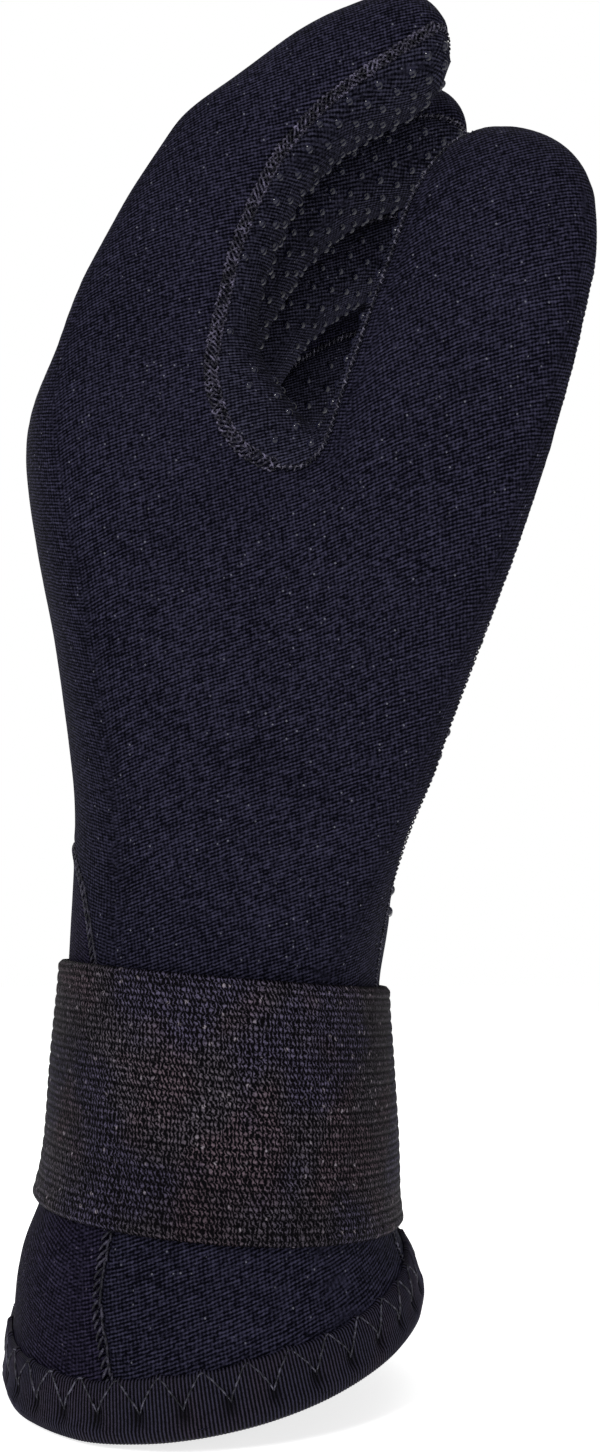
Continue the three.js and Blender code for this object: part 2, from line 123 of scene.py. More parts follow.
def makeStudio():
    low = cadBox[0].z - studio["floorGap"]
    bpy.ops.mesh.primitive_plane_add(size=studio["floorSize"], location=(0.0, 0.0, low))
    floor = bpy.context.object
    floor.name = "floor"
    paper = Paint(bpy.data.materials.new("palePaper"), {
        "Base Color": studio["floorColour"],
        "Roughness": 0.9,
        "Emission Color": (1.0, 1.0, 1.0),
        "Emission Strength": studio["floorGlow"],
    })
    floor.data.materials.append(paper.owner)
    for light in studio["lights"]:
        areaLight(*light)
    world = bpy.data.worlds.new("studioWorld")
    bpy.context.scene.world = world
    sky = Paint(world, {"Color": studio["worldColour"]})
    seen = sky.node("LightPath", output="Is Camera Ray")
    sky.set("Strength", seen * (1.0 - studio["worldLight"]) + studio["worldLight"])
    bpy.context.scene.view_settings.view_transform = "Standard"
    print("stage: camera, floor and lights")


# Small mesh tools

def objectFrom(name, points, faces):
    mesh = bpy.data.meshes.new(name)
    mesh.from_pydata(points.tolist(), [], faces if isinstance(faces, list) else faces.tolist())
    mesh.update()
    made = bpy.data.objects.new(name, mesh)
    bpy.context.scene.collection.objects.link(made)
    return made


def onlySelect(*objects):
    bpy.ops.object.select_all(action="DESELECT")
    for item in objects:
        item.select_set(True)
    bpy.context.view_layer.objects.active = objects[-1]


# Edit mode operators with their settings, each on the whole mesh of the active object.
def onWholeMesh(*steps):
    bpy.ops.object.mode_set(mode="EDIT")
    for operator, settings in steps:
        bpy.ops.mesh.select_all(action="SELECT")
        operator(**settings)
    bpy.ops.object.mode_set(mode="OBJECT")


def smoothShaded(piece, angle=None):
    onlySelect(piece)
    if angle is None:
        bpy.ops.object.shade_smooth()
    else:
        bpy.ops.object.shade_smooth_by_angle(angle=math.radians(angle))


# Lengths along and across a woven piece, for its material.
def weaveOn(piece, places):
    weave = piece.data.attributes.new("weave", "FLOAT_VECTOR", "POINT")
    weave.data.foreach_set("vector", places.reshape(-1).astype(np.float32))


def pointsOf(thing):
    points = np.empty(len(thing.data.vertices) * 3)
    thing.data.vertices.foreach_get("co", points)
    return points.reshape(-1, 3)


def trianglesOf(thing):
    thing.data.calc_loop_triangles()
    found = np.empty(len(thing.data.loop_triangles) * 3, np.int64)
    thing.data.loop_triangles.foreach_get("vertices", found)
    return found.reshape(-1, 3)


def edgesOf(faces):
    pairs = np.vstack([faces[:, [0, 1]], faces[:, [1, 2]], faces[:, [2, 0]]])
    return np.unique(np.sort(pairs, axis=1), axis=0)


def normalsOf(points, faces):
    a, b, c = (points[faces[:, i]] for i in range(3))
    flat = np.cross(b - a, c - a)
    total = np.stack([
        sum(np.bincount(faces[:, i], flat[:, k], len(points)) for i in range(3)) for k in range(3)
    ], axis=1)
    return total / np.maximum(np.linalg.norm(total, axis=1), 1e-12)[:, None]


def neighboursOf(edges, size):
    return np.maximum(np.bincount(edges.ravel(), minlength=size), 1)


# Mean of each point's neighbours, for any columns of values.
def neighbourMean(values, edges, counts):
    columns = []
    for k in range(values.shape[1]):
        total = np.bincount(edges[:, 0], values[edges[:, 1], k], len(values))
        total += np.bincount(edges[:, 1], values[edges[:, 0], k], len(values))
        columns.append(total / counts)
    return np.stack(columns, axis=1)


# Smooths with little shrinking: what each pass takes off too widely, the next one gives back.
def evened(values, edges, rounds, passes=3):
    counts = neighboursOf(edges, len(values))

    def spread(columns):
        for _ in range(rounds):
            columns = columns + 0.9 * (neighbourMean(columns, edges, counts) - columns)
        return columns

    smooth = spread(values)
    for _ in range(passes - 1):
        smooth = smooth + spread(values - smooth)
    return smooth


def smoothStep(low, high, value):
    t = np.clip((value - low) / (high - low), 0.0, 1.0)
    return t * t * (3.0 - 2.0 * t)


def unit(vectors):
    return vectors / np.linalg.norm(vectors, axis=-1, keepdims=True)


def lengthsAlong(line):
    return np.concatenate([[0.0], np.cumsum(np.linalg.norm(np.diff(line, axis=0), axis=1))])


def pointsAt(places, lengths, line):
    return np.stack([np.interp(places, lengths, line[:, k]) for k in range(3)], axis=1)


def evenly(line, step):
    lengths = lengthsAlong(line)
    return pointsAt(np.arange(0.0, lengths[-1], step), lengths, line)


# Rings and lines are evened by the mean of each value and its two neighbours.
def ringEvened(ring, rounds):
    for _ in range(rounds):
        ring = (np.roll(ring, 1, axis=0) + 2.0 * ring + np.roll(ring, -1, axis=0)) / 4.0
    return ring


def lineEvened(line, rounds):
    for _ in range(rounds):
        line[1:-1] = (line[:-2] + 2.0 * line[1:-1] + line[2:]) / 4.0
    return line


def modifierApplied(piece, kind, **settings):
    onlySelect(piece)
    modifier = piece.modifiers.new(kind, kind)
    for key, value in settings.items():
        setattr(modifier, key, value)
    bpy.ops.object.modifier_apply(modifier=modifier.name)


# The hand's outer form: copies of the cloth solids are fused, smoothed and opened at the cuff

cloth = {
    "nodes": ("back_panel", "palm_panel", "wrist_gusset"),
    "voxel": 1.25 * mm,
    "rounds": 40,              # of each of three smoothing passes
    "hemRisePalm": 0.158,      # slope of the cuff's opening towards the palm
    "hemRiseAcross": 0.15,     # and towards the little finger
    "plugRadius": 60.0 * mm,
    "plugDepth": 5.0 * mm,
    "hemTrim": 0.6 * mm,       # cloth taken off at the opening, inside the binding
    "hemKeep": 7.0 * mm,       # below this the smoothing fades out
    "thickness": 2.7 * mm,
    "patches": (               # places in mm
        {"centre": (20, -46, 125), "reach": (16, 22, 34), "rounds": 54},
        {"centre": (4, -37, 232), "reach": (26, 16, 18), "rounds": 60},
        {"centre": (34, -18, 82), "reach": (16, 30, 26), "rounds": 54},
    ),
}


def hemNormal():
    return Vector((-cloth["hemRisePalm"], -cloth["hemRiseAcross"], 1.0)).normalized()


def copiedNodes(names):
    copies = []
    for name in names:
        copy = bpy.data.objects.new("form", frame["nodes"][name].data.copy())
        bpy.context.scene.collection.objects.link(copy)
        copies.append(copy)
    onlySelect(*copies)
    bpy.ops.object.join()
    form = bpy.context.object
    form.data.materials.clear()
    onWholeMesh((bpy.ops.mesh.remove_doubles, {"threshold": 0.01 * mm}))
    return form


def makeForm():
    form = copiedNodes(cloth["nodes"])
    up = hemNormal()
    bpy.ops.mesh.primitive_cylinder_add(
        vertices=48,
        radius=cloth["plugRadius"],
        depth=cloth["plugDepth"],
        location=-up * (cloth["plugDepth"] / 2 - 0.3 * mm),
        rotation=up.to_track_quat("Z", "Y").to_euler(),
    )
    onlySelect(bpy.context.object, form)
    bpy.ops.object.join()
    modifierApplied(form, "REMESH", mode="VOXEL", voxel_size=cloth["voxel"])
    trim = {"plane_co": up * cloth["hemTrim"], "plane_no": up, "clear_inner": True}
    onWholeMesh((bpy.ops.mesh.bisect, trim), (bpy.ops.mesh.quads_convert_to_tris, {}))
    points, faces = pointsOf(form), trianglesOf(form)
    bpy.data.objects.remove(form)
    edges = edgesOf(faces)
    above = points @ np.array(up)
    share = smoothStep(cloth["hemTrim"], cloth["hemKeep"], above)[:, None]
    points = points + share * (evened(points, edges, cloth["rounds"]) - points)
    points = patched(points, edges)
    print("stage: outer form with", len(faces), "triangles")
    return points, faces


# Creases between the fused solids that the real cloth bridges: each is relaxed within its radius.
def patched(points, edges):
    counts = neighboursOf(edges, len(points))
    for patch in cloth["patches"]:
        centre, reach = np.array(patch["centre"]) * mm, np.array(patch["reach"]) * mm
        away = np.linalg.norm((points - centre) / reach, axis=1)
        weight = (1.0 - smoothStep(0.35, 1.0, away))[:, None]
        for _ in range(patch["rounds"]):
            points = points + weight * (neighbourMean(points, edges, counts) - points)
    return points


# Seams: the form is cut along the places where two cloth panels meet

seams = {
    "fieldRounds": 14,         # evens out the seams' lines
    "depth": 0.55 * mm,        # the groove between two butted edges
    "width": 0.75 * mm,
    "swell": 0.12 * mm,        # the cloth stands up beside it
    "swellPlace": 2.2 * mm,
    "levels": (0.0, -0.5 * mm, 0.5 * mm, -1.0 * mm, 1.0 * mm, -1.8 * mm, 1.8 * mm),
    "snap": 0.2,               # share of an edge within which a point moves to the cut
    "thumbShift": 4.2 * mm,    # brings the thumb's inner seam round to where it is seen
    "thumbLine": (             # in mm, from the crotch to the tip
        (20, -45.6, 157), (25.5, -48, 169), (31.6, -50.3, 185), (36.7, -50.7, 198),
        (41, -50.7, 205),
    ),
    "thumbReach": (6.0 * mm, 13.0 * mm),   # the shift fades out between these distances
    "fewest": 60,              # shorter lines are stray islands and aren't sewn
    "crotch": (14.0 * mm, -46.0 * mm, 153.0 * mm),
}


def distancesTo(name, points):
    node = frame["nodes"][name]
    tree = BVHTree.FromPolygons(pointsOf(node).tolist(), trianglesOf(node).tolist())
    return np.array([tree.find_nearest(place)[3] for place in points])


# Cuts triangles where a column of the values crosses a level. Points close to the cut move onto it.
def cutAt(points, faces, values, column, level):
    table = np.hstack([points, values])
    column += 3
    edges = edgesOf(faces)

    def crossedAt(height):
        start, end = edges[height[edges[:, 0]] * height[edges[:, 1]] < 0].T
        return start, end, height[start] / (height[start] - height[end])

    start, end, share = crossedAt(table[:, column] - level)
    near, far = np.concatenate([start, end]), np.concatenate([end, start])
    away = np.concatenate([share, 1.0 - share])
    order = np.argsort(away)
    order = order[away[order] < seams["snap"]]
    moved, first = np.unique(near[order], return_index=True)
    chosen = order[first]
    t = away[chosen][:, None]
    table[moved] = table[moved] * (1.0 - t) + table[far[chosen]] * t
    table[moved, column] = level
    height = table[:, column] - level
    height[np.abs(height) < 1e-9] = 0.0
    start, end, share = crossedAt(height)
    count = len(table)
    added = table[start] * (1.0 - share[:, None]) + table[end] * share[:, None]
    added[:, column] = level
    table = np.vstack([table, added])
    keys = start * count + end
    order = np.argsort(keys)
    keys = keys[order]

    def middleOf(a, b):
        key = np.minimum(a, b) * count + np.maximum(a, b)
        place = np.minimum(np.searchsorted(keys, key), len(keys) - 1)
        return np.where(keys[place] == key, count + order[place], -1)

    middles = np.stack([middleOf(faces[:, i], faces[:, (i + 1) % 3]) for i in range(3)], axis=1)
    cuts = (middles >= 0).sum(axis=1)
    made = [faces[cuts == 0]]
    for turn in range(3):
        a, b, c = (faces[:, (turn + i) % 3] for i in range(3))
        ab, bc, ca = (middles[:, (turn + i) % 3] for i in range(3))
        two = (cuts == 2) & (ab >= 0) & (ca >= 0)
        for corners in ((a, ab, ca), (ab, b, c), (ab, c, ca)):
            made.append(np.stack(corners, axis=1)[two])
        one = (cuts == 1) & (bc >= 0)
        for corners in ((a, b, bc), (a, bc, c)):
            made.append(np.stack(corners, axis=1)[one])
    return table[:, :3], np.vstack(made), table[:, 3:]


# Signed distances to the palm panel's edge and to the gusset's, and which panel each triangle is in.
def cutPanels(points, faces):
    back, palm, gusset = (distancesTo(name, points) for name in cloth["nodes"])
    values = np.stack([
        palm - np.minimum(back, gusset),
        gusset - np.minimum(back, palm),
    ], axis=1)
    line = evenly(np.array(seams["thumbLine"]) * mm, 1.5 * mm)
    away = np.linalg.norm(points[:, None] - line[None], axis=2).min(axis=1)
    values[:, 0] -= seams["thumbShift"] * (1.0 - smoothStep(*seams["thumbReach"], away))
    edges = edgesOf(faces)
    counts = neighboursOf(edges, len(points))
    for _ in range(seams["fieldRounds"]):
        values += 0.6 * (neighbourMean(values, edges, counts) - values)
    for column in range(2):
        for level in seams["levels"]:
            points, faces, values = cutAt(points, faces, values, column, level)
    middle = values[faces].mean(axis=1)
    labels = np.where(middle[:, 0] < 0, 1, np.where(middle[:, 1] < 0, 2, 0))
    return points, faces, values, labels


def grooved(points, faces, values):
    away = np.abs(values).min(axis=1)
    dip = seams["depth"] * np.exp(-((away / seams["width"]) ** 2))
    rise = seams["swell"] * np.exp(-(((away - seams["swellPlace"]) / seams["width"]) ** 2))
    return points + normalsOf(points, faces) * (rise - dip)[:, None]


# Lines along which two differently labelled panels meet, each as a row of point numbers.
def seamLines(faces, labels):
    pairs = np.vstack([faces[:, [0, 1]], faces[:, [1, 2]], faces[:, [2, 0]]])
    owner = np.tile(labels, 3)
    ordered = np.sort(pairs, axis=1)
    order = np.lexsort((ordered[:, 1], ordered[:, 0]))
    ordered, owner = ordered[order], owner[order]
    same = (ordered[1:] == ordered[:-1]).all(axis=1) & (owner[1:] != owner[:-1])
    links = {}
    for a, b in ordered[1:][same]:
        links.setdefault(int(a), []).append(int(b))
        links.setdefault(int(b), []).append(int(a))
    lines = []
    ends = sorted(k for k, near in links.items() if len(near) == 1) + sorted(links)
    for start in ends:
        line = [start]
        while links[line[-1]]:
            following = links[line[-1]].pop()
            links[following].remove(line[-1])
            line.append(following)
        if len(line) > seams["fewest"]:
            lines.append(line)
    return lines


# Shader maths: a link wraps one socket, and an expression on links adds its nodes

class Link:
    def __init__(self, paint, socket):
        self.paint = paint
        self.socket = socket

    def math(self, operation, *others):
        return self.paint.node("Math", {"operation": operation}, [self, *others])

    def __add__(self, other):
        return self.math("ADD", other)

    def __sub__(self, other):
        return self.math("SUBTRACT", other)

    def __rsub__(self, other):
        return self.paint.node("Math", {"operation": "SUBTRACT"}, [other, self])

    def __mul__(self, other):
        return self.math("MULTIPLY", other)

    __radd__ = __add__
    __rmul__ = __mul__

    def clipped(self, low, high, start=0.0, end=1.0):
        values = [self, low, high, start, end]
        return self.paint.node("MapRange", {"interpolation_type": "SMOOTHSTEP"}, values)


class Paint:
    def __init__(self, owner, settings):
        self.owner = owner     # a material, or the studio's world
        owner.use_nodes = True
        self.tree = owner.node_tree
        self.shader = self.tree.nodes.get("Principled BSDF") or self.tree.nodes["Background"]
        for key, value in settings.items():
            self.set(key, value)

    def node(self, kind, settings=None, values=(), output=0):
        made = self.tree.nodes.new("ShaderNode" + kind)
        for key, value in (settings or {}).items():
            setattr(made, key, value)
        pairs = values.items() if isinstance(values, dict) else enumerate(values)
        for key, value in pairs:
            self.feed(made.inputs[key], value)
        return Link(self, made.outputs[output])

    def feed(self, socket, value):
        if isinstance(value, Link):
            self.tree.links.new(value.socket, socket)
        elif socket.type == "RGBA":
            socket.default_value = (*value, 1.0)
        else:
            socket.default_value = value

    def set(self, name, value):
        self.feed(self.shader.inputs[name], value)

    def noise(self, scale, detail=2.0, rough=0.5, place=None):
        values = {"Scale": scale, "Detail": detail, "Roughness": rough}
        return self.node("TexNoise", None, {"Vector": place or self.place, **values})

    def cells(self, scale, output="Distance"):
        return self.node("TexVoronoi", None, {"Vector": self.place, "Scale": scale}, output)

    def blend(self, share, first, second):
        return self.node("Mix", {"data_type": "RGBA"}, {0: share, 6: first, 7: second}, 2)

    def parts(self, vector):
        first = self.node("SeparateXYZ", None, [vector])
        return [Link(self, socket) for socket in first.socket.node.outputs]

    def joined(self, x, y, z):
        return self.node("CombineXYZ", None, [x, y, z])

    def attribute(self, name):
        return self.node("Attribute", {"attribute_name": name}, output="Vector")

    def bump(self, height, distance, strength=1.0):
        values = {"Strength": strength, "Distance": distance, "Height": height}
        self.set("Normal", self.node("Bump", None, values))

    # Painted glints: small bright specks near the middles of a few cells, chosen by their random
    # colour.
    def glints(self, scale, low, high, outer, inner):
        chosen, _, _ = self.parts(self.cells(scale, "Color"))
        return chosen.clipped(low, high) * self.cells(scale).clipped(outer, inner)


def newPaint(name, settings):
    paint = Paint(bpy.data.materials.new(name), settings)
    paint.place = paint.node("TexCoord", output="Object")
    return paint


def twoPi(pitch):
    return 2.0 * math.pi / pitch


knit = {
    "wale": 0.66 * mm,         # pitch of the knit's columns and of its rows
    "course": 0.62 * mm,
    "lean": 0.35,              # rows climb across the hand
    "yarn": 2300.0,            # scale of the unevenness along each row
    # painted shade in the knit's gaps, the lit yarn and painted glints of each cloth
    "smoothKnit": ((0.0006, 0.0006, 0.0017), (0.039, 0.037, 0.069), (0.095, 0.095, 0.12)),
    "gripKnit": ((0.0009, 0.0009, 0.0022), (0.050, 0.049, 0.083), (0.10, 0.10, 0.13)),
    "gussetKnit": ((0.0008, 0.0006, 0.0022), (0.034, 0.029, 0.059), (0.07, 0.06, 0.09)),
}


# The knit's rows and columns with its uneven yarn, laid flat from the side, the front and above and
# mixed where they meet.
def knitHeight(paint):
    x, y, z = paint.parts(paint.place)
    nx, _, nz = paint.parts(paint.node("NewGeometry", output="Normal"))
    front = nx.math("ABSOLUTE").clipped(0.5, 0.8)
    above = nz.math("ABSOLUTE").clipped(0.55, 0.8)
    wobble = paint.noise(130.0) * (0.7 * mm)
    heights = []
    for across, up in ((x, z), (y, z), (x, y)):
        row = up - across * knit["lean"] + wobble
        columns = ((across + up * 0.12 + wobble) * twoPi(knit["wale"])).math("SINE")
        rows = (row * twoPi(knit["course"])).math("SINE")
        drawn = paint.joined(across * 0.45, row, nz * 0.001)
        yarn = paint.noise(knit["yarn"], 2.0, 0.75, drawn)
        heights.append(columns * 0.13 + rows * 0.26 + yarn * 1.5 - 0.25)
    level = heights[0] * (1.0 - front) + heights[1] * front
    return level * (1.0 - above) + heights[2] * above


def neoprenePaint(name):
    dark, pale, glintColour = knit[name]
    paint = newPaint(name, {"Roughness": 0.8, "Specular IOR Level": 0.02})
    height = knitHeight(paint)
    grain = paint.noise(1300.0, 2.0, 0.7)
    cloud = paint.noise(38.0, 3.0, 0.6)
    # Base colour: near black where the knit is low, painted shade in its gaps, and the yarn's colour
    # where it is high; grain and cloud add tone that differs at random, and a few specks are painted
    # glints.
    lit = (height + grain * 0.7 + cloud * 0.25 - 0.66).clipped(0.0, 1.2)
    glint = paint.glints(1700.0, 0.975, 0.99, 0.42, 0.15)
    paint.set("Base Color", paint.blend(glint, paint.blend(lit, dark, pale), glintColour))
    paint.bump(height + grain * 0.4, 0.12 * mm, 0.6)
    return paint.owner


def dotPaint():
    paint = newPaint("gripRubber", {"Specular IOR Level": 0.28})
    grime = paint.noise(520.0, 3.0, 0.6)
    paint.set("Base Color", paint.blend(grime, *dots["colours"]))
    paint.set("Roughness", grime.clipped(0.2, 0.8, 0.12, 0.24))
    paint.bump(grime, 0.06 * mm, 0.4)
    return paint.owner


def threadPaint(name):
    dark, pale = stitch["threads"][name]
    paint = newPaint(name, {"Roughness": 0.6, "Specular IOR Level": 0.2})
    fibre = paint.noise(2600.0, 2.0, 0.6)
    patch = paint.noise(850.0, 3.0, 0.65)
    share = (fibre * 0.9 + patch * 2.2 - 1.25).clipped(0.05, 1.1)
    paint.set("Base Color", paint.blend(share, dark, pale))
    paint.bump(fibre, 0.06 * mm, 0.6)
    return paint.owner


# Ribbed elastic: rows of small upright loops, paler on the ribs, in patches of brown and violet.
# The grooves between the ribs and the gaps between the loops get painted shade; a few loops get
# painted glints.
def webbingPaint():
    paint = newPaint("ribbedElastic", {"Roughness": 0.66, "Specular IOR Level": 0.03})
    u, v, _ = paint.parts(paint.attribute("weave"))
    row = (v * (2.0 / strap["ribPitch"])).math("FLOOR")
    slip = row.math("MODULO", 2.0) * 0.5 + (row * 12.9898).math("SINE") * 0.5
    wobble = paint.noise(1300.0) * 2.1
    turns = u * (1.0 / strap["loopPitch"]) + v * strap["loopLean"] + slip + wobble
    loops = (turns * twoPi(1.0)).math("SINE") * 0.5 + 0.5
    rib = (v * twoPi(strap["ribPitch"])).math("COSINE") * -0.5 + 0.5
    rows = (v * twoPi(strap["ribPitch"] / 2.0)).math("COSINE") * -0.5 + 0.5
    fibre = paint.noise(2000.0, 2.0, 0.8)
    grain = paint.noise(900.0, 2.0, 0.7)
    strokes = loops * 0.65 + rows * 0.25 + fibre * 1.0 + grain * 0.6 - 0.95
    glint = paint.glints(950.0, 0.88, 0.97, 0.45, 0.15)
    # Painted shade: the loops and ribs are lit on their tops and darken to near black in the gaps
    # between them; fibre and grain add random tone.
    lit = strokes.clipped(0.18, 1.1) * rib.clipped(-0.7, 0.45)
    far = paint.node("Mapping", None, {"Vector": paint.place, "Location": (0.3, 0.1, 0.7)})
    violet = paint.noise(55.0, place=far).clipped(0.47, 0.62)
    warm = paint.noise(85.0).clipped(0.45, 0.6)
    shine = paint.noise(28.0, 1.0, place=far).clipped(0.35, 0.65, 0.8, 1.2)
    pale = paint.blend(violet, paint.blend(warm, strap["grey"], strap["brown"]), strap["violet"])
    base = paint.blend(lit * shine, strap["grooveShade"], pale)
    paint.set("Base Color", paint.blend(glint * loops, base, strap["glintColour"]))
    paint.bump(loops * 0.7 + rows * 0.3 + fibre * 0.5, 0.2 * mm, 0.7)
    return paint.owner


def tapePaint():
    paint = newPaint("bindingTape", {"Roughness": 0.6, "Specular IOR Level": 0.04})
    u, v, dentAndShade = paint.parts(paint.attribute("weave"))
    rib = (u * twoPi(tape["ribPitch"])).math("COSINE") * 0.5 + 0.5
    fibre = paint.noise(2400.0, 2.0, 0.8)
    patch = paint.noise(120.0, 2.0, 0.6)
    # Painted shade: the tape is lit on its ribs and darkens to near black between them, darker still
    # in the dents where the V stitches pull it in; fibre adds random tone.
    lit = (rib * 1.1 + fibre * 1.1 - 0.76).clipped(0.12, 0.95) * (1.0 - dentAndShade)
    pale = paint.blend(patch.clipped(0.4, 0.7), tape["blue"], tape["violet"])
    paint.set("Base Color", paint.blend(lit, tape["grooveShade"], pale))
    paint.bump((v * twoPi(0.5 * mm)).math("SINE") * 0.2 + fibre * 0.5, 0.08 * mm, 0.6)
    return paint.owner


def tabPaint():
    paint = newPaint("hookTab", {"Roughness": 0.58, "Specular IOR Level": 0.1})
    u, v, _ = paint.parts(paint.attribute("weave"))
    across, up = ((part * twoPi(tab["knotPitch"])).math("SINE") for part in (u, v))
    knots = across * up * 0.5 + 0.5
    pile = paint.noise(1300.0, 3.0, 0.7)
    worn = paint.noise(110.0, 3.0, 0.65)
    share = (knots * 0.55 + pile * 1.3 + worn * 1.1 - 1.0).clipped(0.0, 1.1, 0.02, 1.0)
    paint.set("Base Color", paint.blend(share, *tab["colours"]))
    paint.bump(knots + pile * 0.8, 0.25 * mm, 0.8)
    return paint.owner


def finished(piece, material, slot, *nodes):
    piece.data.materials.clear()
    piece.data.materials.append(material)
    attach(piece, "root")
    if nodes:
        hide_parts(*nodes)


# Cloth panels: each is its share of the form, with a wall's thickness inwards

def panelFrom(name, node, points, faces, material, slot):
    used, corners = np.unique(faces, return_inverse=True)
    panel = objectFrom(name, points[used], corners.reshape(-1, 3))
    wall = cloth["thickness"]
    modifierApplied(panel, "SOLIDIFY", thickness=wall, offset=-1.0, use_quality_normals=True)
    places = pointsOf(panel)
    up = np.array(hemNormal())
    places += np.maximum(cloth["hemTrim"] - places @ up, 0.0)[:, None] * up
    panel.data.vertices.foreach_set("co", places.ravel())
    panel.data.update()
    smoothShaded(panel, 50.0)
    finished(panel, neoprenePaint(material), slot, node)


def makePanels(points, faces, labels):
    panels = (
        ("cloth_back", "back_panel", "smoothKnit", "smooth_neoprene"),
        ("cloth_palm", "palm_panel", "gripKnit", "grip_neoprene"),
        ("cloth_gusset", "wrist_gusset", "gussetKnit", "gusset_neoprene"),
    )
    for label, (name, node, material, slot) in enumerate(panels):
        panelFrom(name, node, points, faces[labels == label], material, slot)
    print("stage: cloth panels")


# Threads: round strands along rows of points, all strands of a seam in one mesh

def sewn(name, strands, radius, thread, slot, sides=5):
    points, faces, count = [], [], 0
    angles = np.arange(sides) * 2.0 * math.pi / sides
    for strand in strands:
        strand = np.asarray(strand)
        steps = len(strand)
        along = np.gradient(strand, axis=0)
        along /= np.maximum(np.linalg.norm(along, axis=1), 1e-12)[:, None]
        helper = np.where(np.abs(along[:, [2]]) < 0.8, (0.0, 0.0, 1.0), (1.0, 0.0, 0.0))
        first = unit(np.cross(along, helper))
        second = np.cross(along, first)
        thin = radius * np.sin(np.linspace(0.35, math.pi - 0.35, steps)) ** 0.4
        ring = first[:, None] * np.cos(angles)[:, None] + second[:, None] * np.sin(angles)[:, None]
        points.append((strand[:, None] + ring * thin[:, None, None]).reshape(-1, 3))
        for step in range(steps - 1):
            for side in range(sides):
                a, b = count + step * sides + side, count + step * sides + (side + 1) % sides
                faces.append((a, b, b + sides, a + sides))
        faces.append(tuple(count + side for side in reversed(range(sides))))
        faces.append(tuple(count + (steps - 1) * sides + side for side in range(sides)))
        count += steps * sides
    made = objectFrom(name, np.vstack(points), faces)
    smoothShaded(made)
    finished(made, thread, slot)


# A seam's line at even steps, with its direction, the cloth's outward normal and the way across.
def seamFrames(line, step, tree):
    centre = evenly(lineEvened(line, 6), step)
    along = unit(np.gradient(centre, axis=0))
    found = [tree.find_nearest(place) for place in centre]
    centre = np.array([hit[0] for hit in found])
    normal = lineEvened(np.array([hit[1] for hit in found]), 8)
    normal = unit(normal - along * (normal * along).sum(axis=1)[:, None])
    return centre, along, normal, np.cross(normal, along)


stitch = {
    "overPitch": 1.05 * mm,    # overlock on the index finger's outer seam
    "overHalf": 0.95 * mm,
    "overRadius": 0.19 * mm,
    "hairs": 4,                # loose fibres per stitch
    "thinPitch": 1.05 * mm,    # whip stitches on the other seams
    "thinHalf": 0.6 * mm,
    "thinRadius": 0.15 * mm,
    "ropePitch": 1.5 * mm,     # slanting, rope-like stitch over the gusset's seam
    "ropeHalf": 0.95 * mm,
    "ropeRadius": 0.23 * mm,
    "fuzzRadius": 0.035 * mm,
    "threads": {               # dark and lit colour of each thread
        "paleThread": ((0.002, 0.002, 0.005), (0.165, 0.150, 0.235)),
        "greyThread": ((0.004, 0.004, 0.008), (0.18, 0.17, 0.235)),
        "dullThread": ((0.002, 0.002, 0.005), (0.082, 0.075, 0.115)),
        "tabThread": ((0.004, 0.004, 0.007), (0.19, 0.18, 0.22)),
        "hemThread": ((0.003, 0.003, 0.006), (0.13, 0.125, 0.17)),
    },
}


# One thread laid over a seam, from a place (across, along) to another, with its ends in the cloth.
def crossing(frame, start, end, lift):
    centre, along, normal, across = frame
    t = np.linspace(0.0, 1.0, 7)[:, None]
    rise = (lift * np.sin(math.pi * t) ** 0.7 - 0.12) * mm
    a, b = np.array(start), np.array(end)
    way = a + (b - a) * t
    return centre + across * way[:, [0]] + along * way[:, [1]] + normal * rise


def jitter(amount):
    return rng.uniform(-amount, amount) * mm


# Slanting threads over the seam, a looped chain down each edge of them and loose fibres.
def overlock(frames, first, last):
    pitch = stitch["overPitch"]
    low, high = frames[0][first:last, 2].min(), frames[0][first:last, 2].max()
    strands, fuzz = [], []
    for k in range(first, last):
        half = stitch["overHalf"] * (1.1 - 0.4 * (frames[0][k, 2] - low) / (high - low))
        frame = [values[k] for values in frames]
        reach, lean = half + jitter(0.2), 0.7 * pitch + jitter(0.3)
        end = (reach + jitter(0.15), lean)
        strands.append(crossing(frame, (-reach, -lean), end, 0.42 + rng.uniform(-0.1, 0.1)))
        if rng.random() < 0.5:
            end = (reach * rng.uniform(0.2, 1.0), -lean)
            strands.append(crossing(frame, (-reach, lean), end, 0.55))
        for side in (-1.0, 1.0):
            edge = side * (half + jitter(0.15))
            loop = side * (half + 0.3 * mm + jitter(0.15))
            strands.append(crossing(frame, (edge, -0.6 * pitch), (loop, 0.1 * pitch), 0.3))
            end = (edge - side * 0.4 * mm, 0.7 * pitch)
            strands.append(crossing(frame, (loop, -0.1 * pitch), end, 0.36))
        centre, along, normal, across = frame
        for _ in range(stitch["hairs"]):
            root = centre + across * rng.uniform(-1.3, 1.3) * half + along * jitter(0.8)
            root = root + normal * 0.15 * mm
            way = normal * rng.uniform(0.1, 1.0) + across * rng.uniform(-1, 1)
            way = way + along * rng.uniform(-1, 1)
            way = unit(way) * rng.uniform(0.4, 1.0) * mm
            bend = np.cross(way, normal) * rng.uniform(-0.5, 0.5)
            fuzz.append([root, root + way * 0.5 + bend * 0.4, root + way])
    return strands, fuzz


def whip(frames, first, last):
    half = stitch["thinHalf"]
    lean = stitch["thinPitch"] * 0.42
    strands = []
    for k in range(first, last):
        frame = [values[k] for values in frames]
        reach = half + jitter(0.1)
        start, end = (-reach, -lean + jitter(0.15)), (reach, lean + jitter(0.15))
        strands.append(crossing(frame, start, end, 0.3))
        start, end = (jitter(0.2), -0.8 * lean), (jitter(0.2), 1.3 * lean)
        strands.append(crossing(frame, start, end, 0.26))
    return strands


